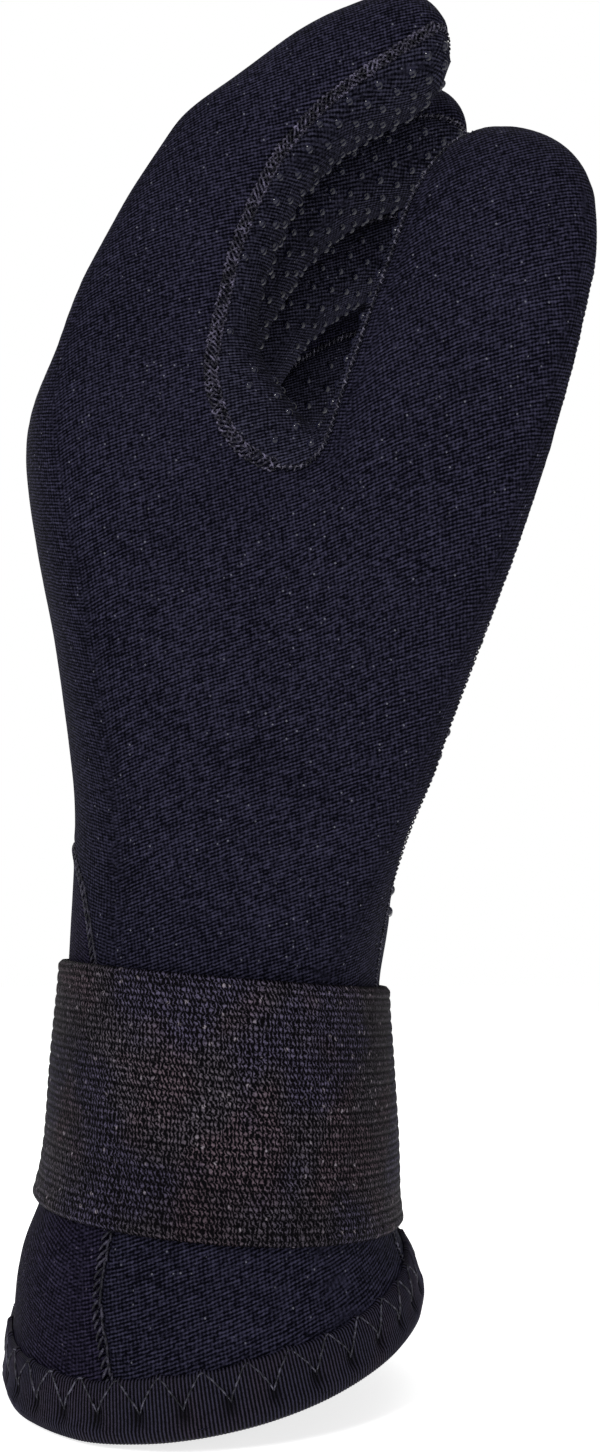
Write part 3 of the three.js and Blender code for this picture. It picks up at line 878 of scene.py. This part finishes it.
def rope(frames):
    half, pitch = stitch["ropeHalf"], stitch["ropePitch"]
    strands = []
    for k in range(1, len(frames[0]) - 1):
        frame = [values[k] for values in frames]
        reach = half + jitter(0.15)
        start = (-reach, 0.75 * pitch + jitter(0.2))
        strands.append(crossing(frame, start, (reach, -0.75 * pitch), 0.42))
        side = half * rng.uniform(0.7, 1.1)
        end = (side + jitter(0.2), 0.6 * pitch)
        strands.append(crossing(frame, (side, -0.6 * pitch), end, 0.22))
    return strands


def sewSeams(points, lines, tree):
    panelLine, gussetLine = points[lines[0]], points[lines[1]]
    wide = seamFrames(panelLine, stitch["overPitch"], tree)
    strands, fuzz = overlock(wide, *seamSpan(wide[0]))
    thread = threadPaint("paleThread")
    sewn("index_overlock", strands, stitch["overRadius"], thread, "smooth_neoprene")
    sewn("index_fuzz", fuzz, stitch["fuzzRadius"], thread, "smooth_neoprene", 3)
    fine = seamFrames(panelLine, stitch["thinPitch"], tree)
    low, high = seamSpan(fine[0])
    strands = whip(fine, 1, low) + whip(fine, high, len(fine[0]) - 1)
    thread = threadPaint("greyThread")
    sewn("seam_stitches", strands, stitch["thinRadius"], thread, "smooth_neoprene")
    strands = rope(seamFrames(gussetLine, stitch["ropePitch"], tree))
    thread = threadPaint("dullThread")
    sewn("gusset_stitches", strands, stitch["ropeRadius"], thread, "gusset_neoprene")
    print("stage: seams sewn")


# The part of the long seam from the thumb's crotch to the index finger's tip.
def seamSpan(centre):
    crotch = int(np.argmin(np.linalg.norm(centre - np.array(seams["crotch"]), axis=1)))
    tip = int(np.argmax(centre[:, 2] - 1.2 * centre[:, 1]))
    return sorted((crotch, tip))


# Grip dots: one low dome, copied in staggered rows over the palm panel

dots = {
    "radius": 0.88 * mm,
    "height": 0.62 * mm,
    "acrossPitch": 4.7 * mm,
    "rowPitch": 3.9 * mm,
    "seamGap": 1.5 * mm,
    "apart": 3.1 * mm,
    "lowest": 76.0 * mm,       # no dots under the strap
    "highest": 172.0 * mm,     # above it the fingers have rows of their own
    "span": 60.0 * mm,
    "castFrom": -4.0 * mm,
    "curlCentre": (45.0 * mm, 170.0 * mm),
    "curlInner": 45.0 * mm,    # nearer to the centre there is only the thumb
    "fingerPlaces": (-36.0 * mm, -12.0 * mm, 12.0 * mm, 35.3 * mm),
    "fingerHalf": 9.0 * mm,
    "fingerAround": 17,
    "thumbAround": 21,
    "thumbFoot": (33.0 * mm, -38.0 * mm, 135.0 * mm),
    "thumbTip": (56.5 * mm, -50.5 * mm, 204.0 * mm),
    "colours": ((0.004, 0.004, 0.010), (0.012, 0.012, 0.028)),
}


def domeMesh(sides=8):
    angles = np.arange(sides) * 2.0 * math.pi / sides
    rings = ((1.0, -0.15), (0.86, 0.5), (0.48, 0.9))
    points = [(r * math.cos(a), r * math.sin(a), h) for r, h in rings for a in angles]
    points.append((0.0, 0.0, 1.0))
    faces = []
    for ring in range(2):
        for i in range(sides):
            a, b = ring * sides + i, ring * sides + (i + 1) % sides
            faces += [(a, b, b + sides), (a, b + sides, a + sides)]
    faces += [(2 * sides + i, 2 * sides + (i + 1) % sides, 3 * sides) for i in range(sides)]
    return np.array(points), np.array(faces)


# Middle of a curled finger at even angles round the curl's centre, from its root to its tip.
def fingerLine(points, place):
    centre = np.array((dots["curlCentre"][0], place, dots["curlCentre"][1]))
    beside = np.abs(points[:, 1] - place) < dots["fingerHalf"]
    away = points[beside & (points[:, 2] > centre[2] - 8.0 * mm)] - centre
    angle = np.arctan2(away[:, 2], -away[:, 0])
    radius = np.hypot(away[:, 0], away[:, 2])
    angle, radius = angle[radius > dots["curlInner"]], radius[radius > dots["curlInner"]]
    middle = []
    for turn in np.radians(np.arange(0.0, 150.0, 5.0)):
        band = np.abs(angle - turn) < math.radians(4.0)
        if band.sum() < 25 or radius[band].max() - radius[band].min() < 8.0 * mm:
            continue
        mean = (radius[band].min() + radius[band].max()) / 2.0
        middle.append(centre + mean * np.array((-math.cos(turn), 0.0, math.sin(turn))))
    return np.array(middle)


def makeDots(points, faces, values, labels, tree):
    hits = []

    def cast(origin, way):
        place, normal, index, _ = tree.ray_cast(Vector(origin), Vector(way))
        if index is not None and labels[index] == 1:
            if values[faces[index], 0].max() < -dots["seamGap"]:
                hits.append((np.array(place), np.array(normal)))

    def castRound(line, count):
        along = np.gradient(line, axis=0)
        for row, (origin, way) in enumerate(zip(line, along)):
            way = unit(way)
            side = unit(np.cross(way, (0.0, 1.0, 0.0)))
            other = np.cross(way, side)
            for i in range(count):
                angle = 2.0 * math.pi * (i + 0.5 * (row % 2)) / count
                cast(origin, side * math.cos(angle) + other * math.sin(angle))

    for place in dots["fingerPlaces"]:
        castRound(evenly(fingerLine(points, place), dots["rowPitch"]), dots["fingerAround"])
    thumb = np.array((dots["thumbFoot"], dots["thumbTip"]))
    castRound(evenly(thumb, dots["rowPitch"]), dots["thumbAround"])
    row = 0
    for z in np.arange(dots["lowest"], dots["highest"], dots["rowPitch"]):
        row += 1
        shift = 0.5 * dots["acrossPitch"] * (row % 2)
        for y in np.arange(-dots["span"], dots["span"], dots["acrossPitch"]):
            cast((dots["castFrom"], y + shift, z), (1.0, 0.0, 0.0))
    kept = []
    grid = {}
    for place, normal in hits:
        cell = tuple(np.floor(place / dots["apart"]).astype(int) - 1)
        around = [tuple(np.add(cell, step)) for step in np.ndindex(3, 3, 3)]
        others = [other for key in around for other in grid.get(key, ())]
        if all(np.linalg.norm(place - other) >= dots["apart"] for other in others):
            grid.setdefault(tuple(np.add(cell, 1)), []).append(place)
            kept.append((place, normal))
    shape, shapeFaces = domeMesh()
    allPoints, allFaces = [], []
    for number, (place, normal) in enumerate(kept):
        side = unit(np.cross(normal, (0.3, 0.5, 0.81)))
        other = np.cross(normal, side)
        size = dots["radius"] * rng.uniform(0.92, 1.08)
        allPoints.append(place + (shape[:, [0]] * side + shape[:, [1]] * other) * size
                         + shape[:, [2]] * normal * dots["height"])
        allFaces.append(shapeFaces + number * len(shape))
    made = objectFrom("grip_dots", np.vstack(allPoints), np.vstack(allFaces))
    smoothShaded(made)
    finished(made, dotPaint(), "grip_neoprene")
    print("stage:", len(kept), "grip dots")


# Bands round the wrist and cuff follow the form: rays from inside find its surface at each angle

def roundTrunk(tree, height, slopeX, slopeY, centre, rounds, steps=240):
    places = []
    normal = Vector((-slopeX, -slopeY, 1.0)).normalized()
    origin = Vector((centre[0], centre[1], 0.0))
    origin.z = height + slopeX * origin.x + slopeY * origin.y
    for step in range(steps):
        angle = 2.0 * math.pi * step / steps
        way = Vector((math.cos(angle), math.sin(angle), 0.0))
        way.z = slopeX * way.x + slopeY * way.y
        hit = tree.ray_cast(origin, way.normalized())[0]
        places.append((hit - origin).length)
    reach = ringEvened(np.array(places), rounds)
    angles = 2.0 * math.pi * np.arange(steps) / steps
    rise = slopeX * np.cos(angles) + slopeY * np.sin(angles)
    ways = unit(np.stack([np.cos(angles), np.sin(angles), rise], axis=1))
    return np.array(origin) + ways * reach[:, None], np.array(normal)


# Even steps round a closed ring, with the outward direction in the ring's own plane.
def evenRing(ring, step, normal):
    closed = np.vstack([ring, ring[:1]])
    lengths = lengthsAlong(closed)
    count = int(round(lengths[-1] / step))
    places = lengths[-1] * np.arange(count) / count
    even = pointsAt(places, lengths, closed)
    along = unit(np.roll(even, -1, axis=0) - np.roll(even, 1, axis=0))
    return even, unit(np.cross(along, normal)), places


# Closed band through rings of points, each ring one section of the band.
def bandMesh(name, sections, weave):
    steps, count = sections.shape[:2]
    index = np.arange(steps * count).reshape(steps, count)
    a, b = index, np.roll(index, -1, axis=0)
    faces = np.stack([a, b, np.roll(b, -1, axis=1), np.roll(a, -1, axis=1)], axis=-1).reshape(-1, 4)
    made = objectFrom(name, sections.reshape(-1, 3), faces)
    weaveOn(made, weave)
    onlySelect(made)
    onWholeMesh((bpy.ops.mesh.normals_make_consistent, {"inside": False}))
    smoothShaded(made, 60.0)
    return made


strap = {
    "low": 21.7 * mm,          # middle of the lower edge, above the opening
    "width": 43.0 * mm,
    "tilt": -0.085,            # slope down towards the palm
    "gap": 0.3 * mm,
    "thickness": 1.7 * mm,
    "ribPitch": 2.15 * mm,
    "ribDepth": 0.2 * mm,
    "loopPitch": 0.7 * mm,
    "loopLean": 330.0,         # turns of the loops for each metre up
    "step": 1.1 * mm,
    "perRib": 6,
    "centre": (2.0 * mm, 0.0),
    "grey": (0.095, 0.081, 0.101),
    "brown": (0.116, 0.084, 0.103),
    "violet": (0.084, 0.073, 0.122),
    # near-black painted shade in the grooves between the ribs and the gaps between the loops
    "grooveShade": (0.0008, 0.0006, 0.0012),
    # colour of the painted glints on a few loops
    "glintColour": (0.23, 0.20, 0.23),
}


def makeStrap(tree):
    heights = np.linspace(0.0, strap["width"], 9)
    rings = []
    for height in heights:
        height += strap["low"]
        ring, normal = roundTrunk(tree, height, strap["tilt"], 0.0, strap["centre"], 12)
        rings.append(ring)
    rings = np.array(rings)
    half = rings[len(rings) // 2]
    middle, out, _ = evenRing(half, strap["step"], normal)
    share = [np.argmin(np.linalg.norm(half - place, axis=1)) for place in middle]
    perimeter = strap["step"] * len(middle)
    ribs = int(round(strap["width"] / strap["ribPitch"]))
    across = np.linspace(0.0, strap["width"], ribs * strap["perRib"] + 1)
    base = ringEvened(np.array([pointsAt(across, heights, rings[:, k]) for k in share]), 3)
    edge = np.minimum(across, strap["width"] - across)
    rim = -0.5 * mm * np.exp(-((edge / (0.45 * mm)) ** 2))
    rib = strap["ribDepth"] * (np.abs(np.sin(np.pi * across / strap["ribPitch"])) ** 0.6 - 1.0)
    lift = strap["gap"] + strap["thickness"] + rib + rim
    places = strap["step"] * np.arange(len(middle))
    wave = 0.16 * mm * np.sin(twoPi(perimeter / 5.0) * places + 1.0)[:, None]
    lift = (lift + wave * across / strap["width"])[..., None]
    outer = base + out[:, None] * lift
    inner = base[:, ::-strap["perRib"]] + out[:, None] * (strap["gap"] + 0.05 * mm)
    heights = np.concatenate([across, across[::-strap["perRib"]]])
    u, v = np.meshgrid(places, heights, indexing="ij")
    weave = np.stack([u, v, np.zeros(u.shape)], axis=2)
    made = bandMesh("elastic_band", np.concatenate([outer, inner], axis=1), weave)
    finished(made, webbingPaint(), "elastic_webbing", "wrist_strap")
    print("stage: wrist strap with", ribs, "ribs")


tab = {
    "length": 38.0 * mm,
    "width": 34.0 * mm,
    "corner": 6.0 * mm,
    "thickness": 1.5 * mm,
    "middle": 1.16 * mm,
    "stitchInset": 2.4 * mm,
    "stitchPitch": 2.6 * mm,
    "stitchRadius": 0.2 * mm,
    "knotPitch": 1.7 * mm,
    "columns": 54,
    "rows": 48,
    "rounds": 14,              # evens out the depth where the cloth below it bends
    "colours": ((0.0008, 0.0008, 0.0014), (0.023, 0.021, 0.031)),
}


def tabPoint(tree, a, b, lift):
    x = tab["middle"] + a
    z = strap["low"] + strap["width"] / 2.0 + b
    origin = Vector((x, 0.0, z))
    hit, normal, _, _ = tree.ray_cast(origin, Vector((0.0, 1.0, 0.0)))
    return np.array(hit) + np.array((normal.x, normal.y, 0.0)) * lift


def makeTab(tree):
    low = 2.0 * strap["gap"] + strap["thickness"] + 0.05 * mm
    columns, rows = tab["columns"], tab["rows"]
    half = tab["width"] / 2.0
    grid = np.empty((columns, rows, 3))
    weave = np.empty((columns, rows, 3))
    for i, a in enumerate(np.linspace(-tab["length"] / 2.0, tab["length"] / 2.0, columns)):
        past = max(a - (tab["length"] / 2.0 - tab["corner"]), 0.0)
        reach = half - tab["corner"] + math.sqrt(max(tab["corner"] ** 2 - past ** 2, 0.0))
        for j, b in enumerate(np.linspace(-reach, reach, rows)):
            grid[i, j] = tabPoint(tree, a, b, low)
            weave[i, j] = (a, b, 0.0)
    for _ in range(tab["rounds"]):
        depth = grid[..., 1]
        around = depth[:-2, 1:-1] + depth[2:, 1:-1] + depth[1:-1, :-2] + depth[1:-1, 2:]
        depth[1:-1, 1:-1] = around / 4.0
    index = np.arange(columns * rows).reshape(columns, rows)
    faces = np.stack([index[:-1, :-1], index[:-1, 1:], index[1:, 1:], index[1:, :-1]], axis=-1)
    made = objectFrom("hook_patch", grid.reshape(-1, 3), faces.reshape(-1, 4))
    weaveOn(made, weave)
    modifierApplied(made, "SOLIDIFY", thickness=tab["thickness"], offset=1.0)
    modifierApplied(made, "BEVEL", width=0.4 * mm, segments=2, limit_method="ANGLE")
    smoothShaded(made, 40.0)
    finished(made, tabPaint(), "hook_tab", "strap_tab")
    sewTab(tree, low + tab["thickness"])
    print("stage: strap tab")


# Running stitches round the tab, inside its edge, with the corners at the free end cut.
def sewTab(tree, height):
    a = tab["length"] / 2.0 - tab["stitchInset"]
    b = tab["width"] / 2.0 - tab["stitchInset"]
    cut = 2.0 * mm
    outline = ((-a, -b), (a - cut, -b), (a, -b + cut), (a, b - cut), (a - cut, b), (-a, b), (-a, -b))
    path = evenly(np.array([(*corner, 0.0) for corner in outline]), tab["stitchPitch"])
    lines = []
    for start, end in zip(path[:-1], path[1:]):
        t = np.linspace(0.12, 0.88, 5)
        run = [tabPoint(tree, *(start + (end - start) * s)[:2], height) for s in t]
        bow = (np.sin(np.linspace(0.0, math.pi, 5)) * 0.22 - 0.1) * mm
        lines.append(np.array(run) + bow[:, None] * np.array((0.0, 1.0, 0.0)))
    sewn("tab_stitches", lines, tab["stitchRadius"], threadPaint("tabThread"), "hook_tab")


tape = {
    "thickness": 0.9 * mm,
    "ribPitch": 0.62 * mm,
    "ribDepth": 0.075 * mm,
    "perRib": 4,
    "centre": (1.5 * mm, 0.0),
    "zigPitch": 7.4 * mm,
    "zigTop": 8.25 * mm,
    "zigLow": 3.3 * mm,
    "zigRadius": 0.17 * mm,
    "zigLift": 0.14 * mm,
    "dimple": 0.7 * mm,
    "heights": (1.2 * mm, 3.0 * mm, 5.0 * mm, 7.0 * mm, 9.0 * mm),   # where the cuff is measured
    "outline": (               # the fold in mm: outwards from the cloth, and up from the opening
        (0.1, 8.25), (0.45, 8.3), (0.8, 8.05), (0.92, 7.5), (0.95, 6.2), (0.95, 4.9), (0.95, 3.6),
        (0.95, 2.4), (0.95, 1.2), (0.9, 0.3), (0.6, -0.7), (0.0, -1.3), (-0.9, -1.6),
        (-1.8, -1.6), (-2.7, -1.3), (-3.3, -0.7), (-3.6, 0.3), (-3.65, 1.5), (-3.65, 3.5),
        (-3.6, 5.6), (-3.3, 6.6), (-2.8, 6.7), (-2.72, 5.0), (-2.72, 0.2), (-0.02, 0.2),
        (0.02, 4.0),
    ),
    "blue": (0.026, 0.024, 0.043),
    "violet": (0.030, 0.024, 0.040),
    # near-black painted shade between the tape's ribs and in its dents
    "grooveShade": (0.0004, 0.0003, 0.0008),
}


def makeBinding(tree):
    heights = np.array(tape["heights"])
    rings = []
    slopes = cloth["hemRisePalm"], cloth["hemRiseAcross"]
    for height in heights:
        ring, normal = roundTrunk(tree, height, *slopes, tape["centre"], 10)
        rings.append(ring)
    rings = np.array(rings)
    step = tape["ribPitch"] / tape["perRib"]
    low, out, places = evenRing(rings[0], step, normal)
    count = len(low)
    angles, turn = (
        np.arctan2(ring[:, 1] - tape["centre"][1], ring[:, 0] - tape["centre"][0]) % (2.0 * math.pi)
        for ring in (rings[0], low)
    )
    order = np.argsort(angles)
    flare = []
    for ring in rings:
        at = angles[order]
        skin = [np.interp(turn, at, ring[order, k], period=2.0 * math.pi) for k in range(3)]
        flare.append(((np.stack(skin, axis=1) - low) * out).sum(axis=1))
    flare = np.stack(flare)
    outline = np.array(tape["outline"]) * mm
    ribbed = ((outline[:, 0] > 0.3 * mm) | (outline[:, 1] < 0.0)).astype(float)
    sections = np.empty((count, len(outline), 3))
    weave = np.empty((count, len(outline), 3))
    zig = np.abs((places / tape["zigPitch"]) % 1.0 - 0.5) * 2.0
    pull = np.exp(-((zig * tape["zigPitch"] / 2.0 / (1.05 * mm)) ** 2))
    crown = np.exp(-(((1.0 - zig) * tape["zigPitch"] / 2.0 / (0.9 * mm)) ** 2))
    drift = 0.22 * np.sin(twoPi(61.0 * mm) * places) + 0.15 * np.sin(twoPi(23.0 * mm) * places + 2.0)
    for j, (n, u) in enumerate(outline):
        outside = n > 0.3 * mm
        lean = np.array([np.interp(max(u, 0.0), heights, flare[:, k]) for k in range(count)])
        rib = tape["ribDepth"] * np.cos(twoPi(tape["ribPitch"]) * places) * ribbed[j]
        # How far a V stitch pulls the tape in; the tape's material also paints this as shade.
        dentAndShade = pull * math.exp(-(((u - tape["zigLow"] + 0.2 * mm) / (1.3 * mm)) ** 2)) * outside
        puff = 0.16 * mm * (1.0 - pull) * math.exp(-(((u - 4.0 * mm) / (2.4 * mm)) ** 2)) * outside
        top = (0.5 * crown - 0.1 + drift) * mm * (u > 7.0 * mm) * (n > 0.0)
        away = n + lean + rib + puff - tape["dimple"] * dentAndShade
        up = u - heights[0] + top
        sections[:, j] = low + out * away[:, None] + np.array(normal) * np.asarray(up)[..., None]
        # The third value carries the dent to the material, where it is painted as shade.
        weave[:, j] = np.stack([places, np.full(count, u), dentAndShade], axis=1)
    made = bandMesh("hem_tape", sections, weave)
    finished(made, tapePaint(), "binding_tape", "hem_binding")
    sewBinding(low, out, np.array(normal), places, flare, heights)
    print("stage: hem binding")


# V stitches through the tape, each with a short step over to the next.
def sewBinding(low, out, normal, places, flare, heights):
    total = places[-1] + places[1]
    stitches = int(round(total / tape["zigPitch"]))
    count = len(low)

    def onTape(place, u, lift):
        k = int(round(place / total * count)) % count
        lean = np.interp(u, heights, flare[:, k])
        away = tape["thickness"] + lean + lift + tape["zigLift"]
        return low[k] + out[k] * away + normal * (u - heights[0])

    strands = []
    for i in range(stitches):
        base = i * tape["zigPitch"]
        wander = rng.uniform(-0.25, 0.25) * mm
        for start, end in ((0.5, 0.06), (0.5, 0.94)):
            run = []
            for t in np.linspace(0.0, 1.0, 9):
                sweep = start + (end - start) * t ** 1.2
                u = tape["zigLow"] + (tape["zigTop"] - tape["zigLow"]) * t ** 0.85
                arch = 0.14 * math.sin(math.pi * min(t * 1.15, 1.0))
                lift = (arch - 0.35 * math.exp(-t * 7.0)) * mm
                run.append(onTape(base + sweep * tape["zigPitch"] + wander * (1 - t), u, lift))
            strands.append(run)
        run = []
        for t in np.linspace(0.0, 1.0, 4):
            u = tape["zigTop"] + 0.15 * mm * math.sin(math.pi * t)
            run.append(onTape(base + (0.94 + 0.12 * t) * tape["zigPitch"], u, -0.3 * mm * t * t))
        strands.append(run)
    sewn("hem_stitches", strands, tape["zigRadius"], threadPaint("hemThread"), "binding_tape")


makeCamera()
makeStudio()
points, faces = makeForm()
points, faces, values, labels = cutPanels(points, faces)
lines = seamLines(faces, labels)
smoothTree = BVHTree.FromPolygons(points.tolist(), faces.tolist())
points = grooved(points, faces, values)
makePanels(points, faces, labels)
makeDots(points, faces, values, labels, smoothTree)
sewSeams(points, lines, smoothTree)
makeStrap(smoothTree)
makeTab(smoothTree)
makeBinding(smoothTree)
